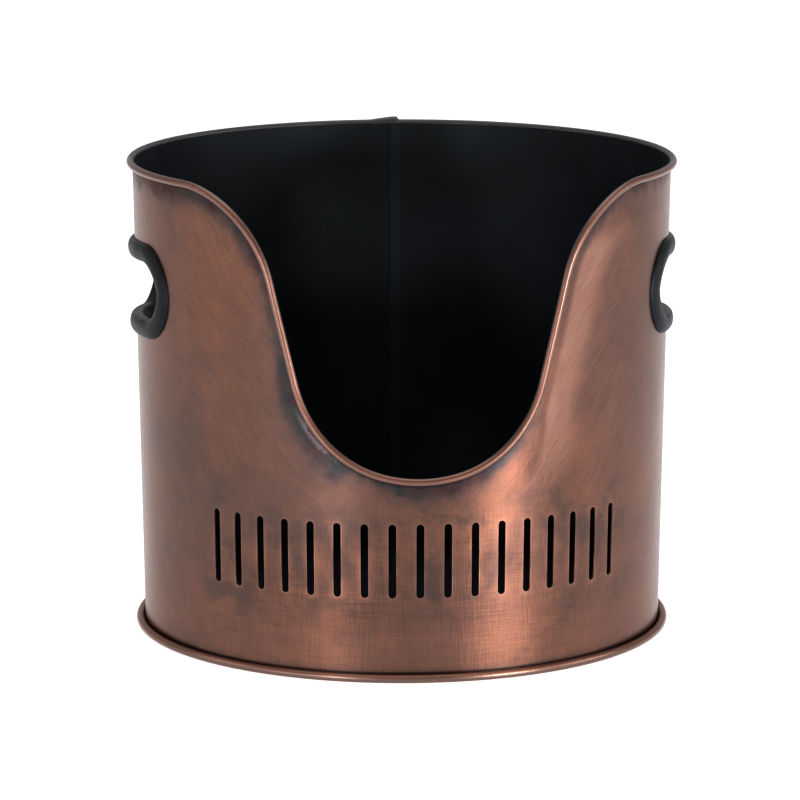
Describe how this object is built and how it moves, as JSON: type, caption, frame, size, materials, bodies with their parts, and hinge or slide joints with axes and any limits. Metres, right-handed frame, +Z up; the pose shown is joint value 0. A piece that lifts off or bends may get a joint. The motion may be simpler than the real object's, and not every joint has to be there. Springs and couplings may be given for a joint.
{
  "type": "kindling bucket",
  "caption": "Tapered round sheet-metal bucket with a scooped front, a rolled wired edge, a row of upright slots below the scoop and a rubber-ringed hand hole in each side.",
  "frame": {"origin": "on the bucket's axis at the ground, the level of the foot ring's underside", "axes": "+Z up, the scooped front towards -Y, the hand holes towards +X and -X"},
  "size_m": [0.3, 0.2983, 0.2604],
  "materials": {
    "copper_sheet": "steel sheet with brushed antique copper plating outside and satin black paint inside",
    "copper_edge": "brushed antique copper plating, black paint on the half that faces in",
    "copper_base": "brushed antique copper plating on the foot ring, satin black paint on the floor",
    "steel_wire": "plain drawn wire",
    "grip_rubber": "matt moulded rubber"
  },
  "bodies": {
    "root": {"body_shell": "copper_sheet", "rim_bead": "copper_edge", "rim_wire": "steel_wire", "base_pan": "copper_base", "foot_wire": "steel_wire", "grip_left": "grip_rubber", "grip_right": "grip_rubber"}
  },
  "joints": []
}
